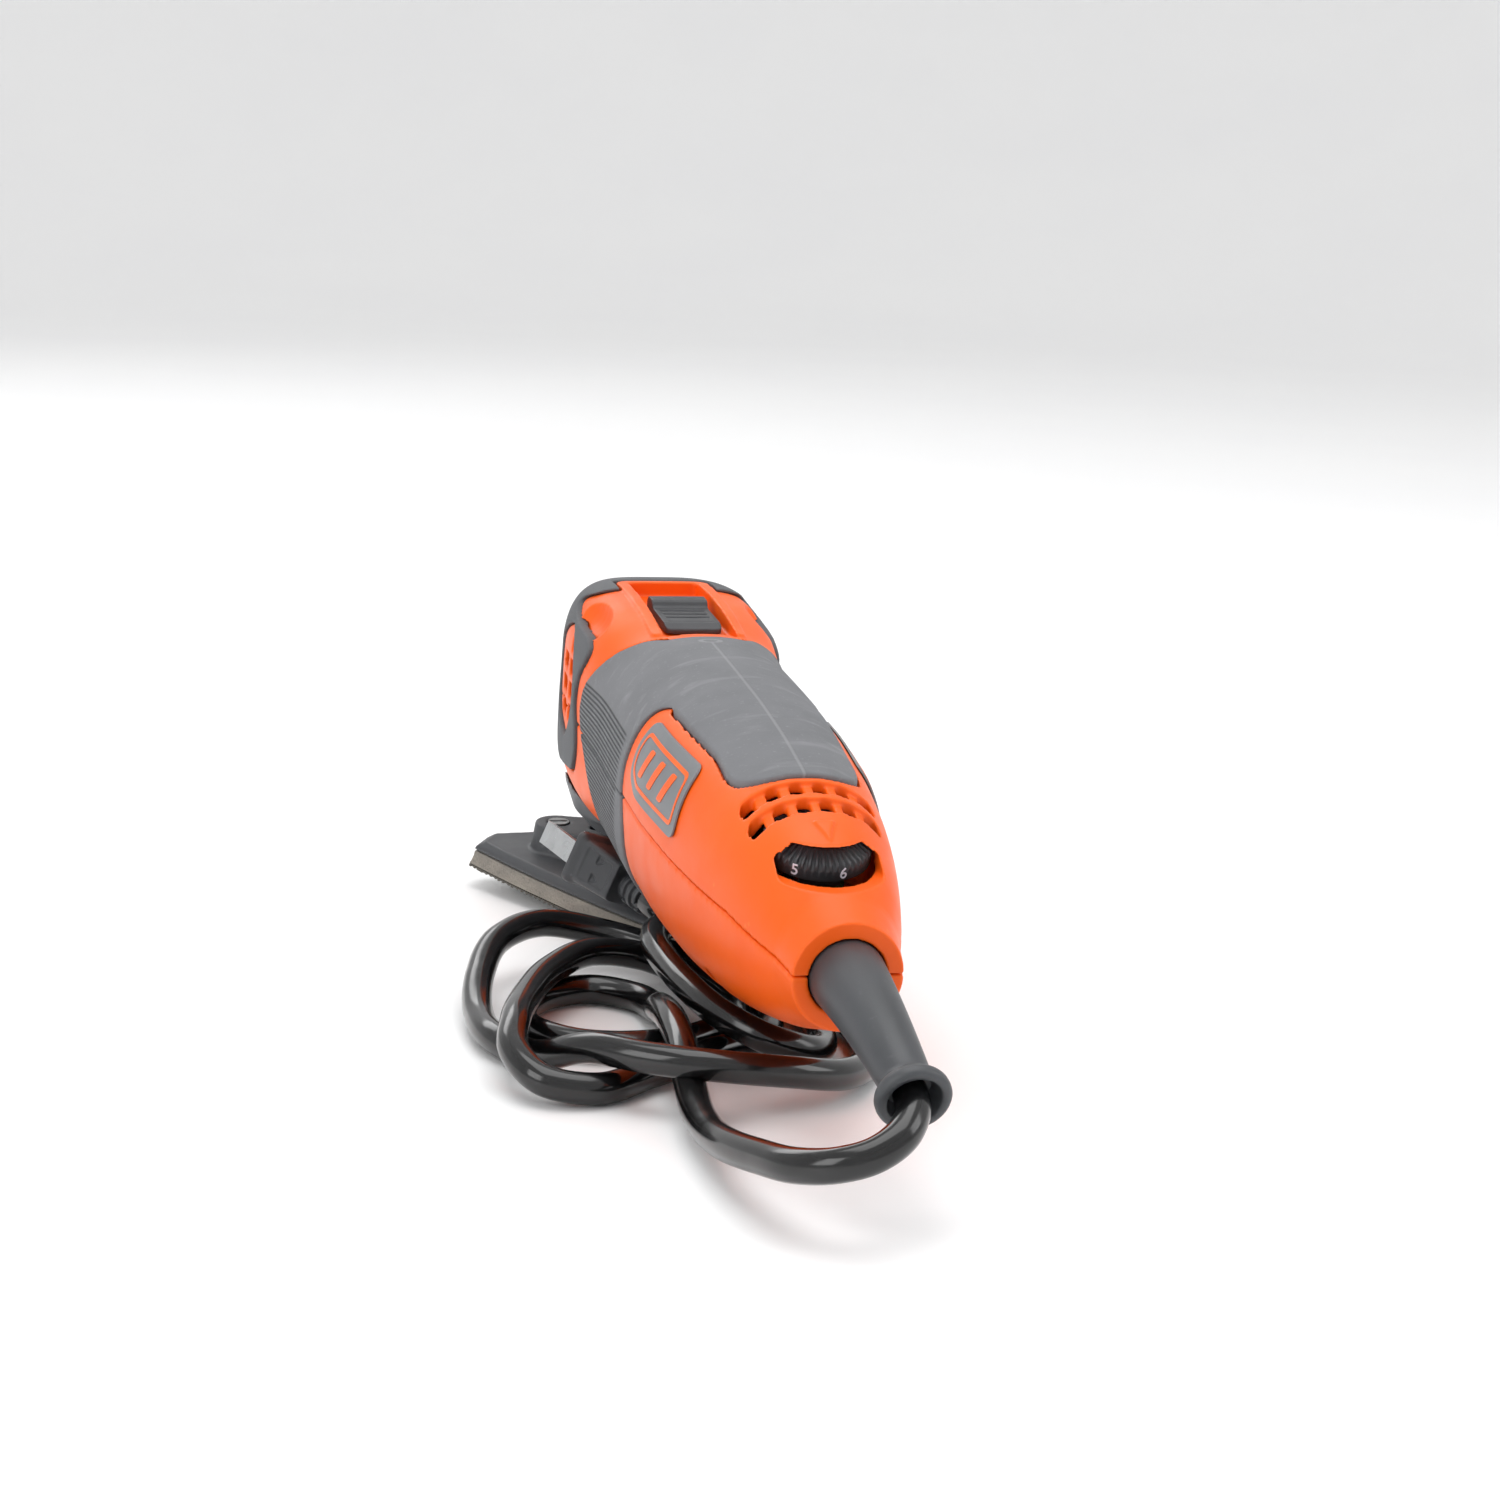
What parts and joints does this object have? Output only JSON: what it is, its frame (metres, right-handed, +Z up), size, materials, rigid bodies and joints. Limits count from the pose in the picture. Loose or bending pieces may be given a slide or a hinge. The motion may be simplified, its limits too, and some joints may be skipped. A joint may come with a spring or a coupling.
{
  "type": "oscillating multi tool",
  "caption": "Mains-powered oscillating multi tool with rubber grip, thumb slide switch, speed dial, tool-free clamp lever, delta sanding pad and folded lead.",
  "frame": {"origin": "on the floor under the middle of the tool's box, lead and plug left out", "axes": "+Y along the tool towards the nose and pad, +Z up, +X to the right of someone holding it from behind"},
  "size_m": [0.1177, 0.2966, 0.0916],
  "materials": {
    "orange_shell": "satin moulded glass-filled plastic, orange",
    "grip_rubber": "matte overmoulded rubber, mid grey",
    "bumper_rubber": "matte overmoulded rubber, grey",
    "badge_plate": "smooth satin plate, grey with an orange outline",
    "dark_plastic": "fine-textured moulded plastic, dark grey",
    "black_plastic": "satin moulded plastic, black with white figures",
    "lever_plastic": "satin moulded plastic, light grey",
    "circuit_board": "glass-fibre board, green",
    "machined_steel": "ground and machined steel",
    "screw_steel": "zinc-plated steel",
    "laminated_steel": "stacked laminations, varnished",
    "cast_zinc": "as-cast light alloy",
    "copper_bars": "copper, enamelled or turned",
    "brass_fitting": "stamped brass, lightly polished",
    "carbon": "pressed carbon, black",
    "pad_plastic": "glass-filled plastic, dark grey",
    "pad_foam": "closed-cell foam, grey-brown",
    "hook_face": "hook fastener, stubbly",
    "sleeve_rubber": "satin moulded rubber, dark grey",
    "lead_jacket": "smooth glossy jacket, black",
    "plug_rubber": "fine-textured moulded plastic, black"
  },
  "bodies": {
    "housing": {"top_housing": "orange_shell", "bottom_housing": "orange_shell", "top_grip": "grip_rubber", "bottom_grip": "grip_rubber", "nose_bumper": "bumper_rubber", "nose_collar": "bumper_rubber", "badge_left": "badge_plate", "badge_right": "badge_plate", "switch_body": "dark_plastic", "speed_board": "circuit_board", "dial_potentiometer": "dark_plastic", "cord_clamp": "dark_plastic", "cord_clamp_screw_left": "screw_steel", "cord_clamp_screw_right": "screw_steel", "front_motor_bearing": "machined_steel", "rear_motor_bearing": "machined_steel", "rear_bearing_bracket": "dark_plastic", "stator_core": "laminated_steel", "field_winding_front": "copper_bars", "field_winding_rear": "copper_bars", "brush_holder_left": "brass_fitting", "brush_holder_right": "brass_fitting", "carbon_brush_left": "carbon", "carbon_brush_right": "carbon", "brush_spring_left": "screw_steel", "brush_spring_right": "screw_steel", "gear_case": "cast_zinc", "spindle_lower_bearing": "machined_steel", "spindle_upper_bearing": "machined_steel", "rocker_pin": "machined_steel", "lever_bracket": "screw_steel", "lever_pin": "machined_steel", "cord_sleeve": "sleeve_rubber", "housing_screw_1": "screw_steel", "housing_screw_2": "screw_steel", "housing_screw_3": "screw_steel", "housing_screw_4": "screw_steel", "cord": "lead_jacket", "plug_body": "plug_rubber", "plug_blade_left": "machined_steel", "plug_blade_right": "machined_steel"},
    "spindle": {"spindle": "machined_steel", "fork_lever": "cast_zinc", "disc_spring_stack": "screw_steel", "pad_plate": "pad_plastic", "pad_foam": "pad_foam", "pad_hook_layer": "hook_face", "pad_screw": "screw_steel"},
    "clamp": {"clamp_rod": "machined_steel"},
    "rotor": {"motor_shaft": "machined_steel", "eccentric_bearing": "machined_steel", "cooling_fan": "dark_plastic", "rotor_core": "laminated_steel", "commutator": "copper_bars"},
    "switch": {"switch_slider": "dark_plastic", "switch_link_rod": "dark_plastic"},
    "dial": {"speed_dial": "black_plastic"},
    "lever": {"lock_lever": "lever_plastic"},
    "rocker": {"clamp_rocker": "machined_steel"}
  },
  "joints": [
    {"name": "spindle_swing", "type": "hinge", "parent": "housing", "child": "spindle", "pos_m": [0, 0.0991, 0.05408], "axis": [0, -0.0785, 0.9969], "range_deg": [-1.4, 1.4]},
    {"name": "motor_spin", "type": "hinge", "parent": "housing", "child": "rotor", "pos_m": [0, 0.0991, 0.05408], "axis": [0, 0.9969, 0.0785], "continuous": true},
    {"name": "switch_slide", "type": "slide", "parent": "housing", "child": "switch", "axis": [0, 0.9969, 0.0785], "range_m": [0, 0.007]},
    {"name": "dial_turn", "type": "hinge", "parent": "housing", "child": "dial", "pos_m": [0, -0.0665, 0.06031], "axis": [0, -0.275, 0.9615], "range_deg": [-27, 243]},
    {"name": "lever_swing", "type": "hinge", "parent": "housing", "child": "lever", "pos_m": [0, 0.14012, 0.08088], "axis": [1, 0, 0], "range_deg": [0, 100]},
    {"name": "rocker_tilt", "type": "hinge", "parent": "housing", "child": "rocker", "pos_m": [0, 0.11493, 0.08241], "axis": [1, 0, 0], "range_deg": [0, 8]},
    {"name": "clamp_release", "type": "slide", "parent": "spindle", "child": "clamp", "axis": [0, 0.0785, -0.9969], "range_m": [0, 0.0025]}
  ],
  "couplings": [
    {"joint": "rocker_tilt", "follows": "lever_swing", "ratio": 0.08},
    {"joint": "clamp_release", "follows": "lever_swing", "m_per_rad": 0.001432}
  ]
}
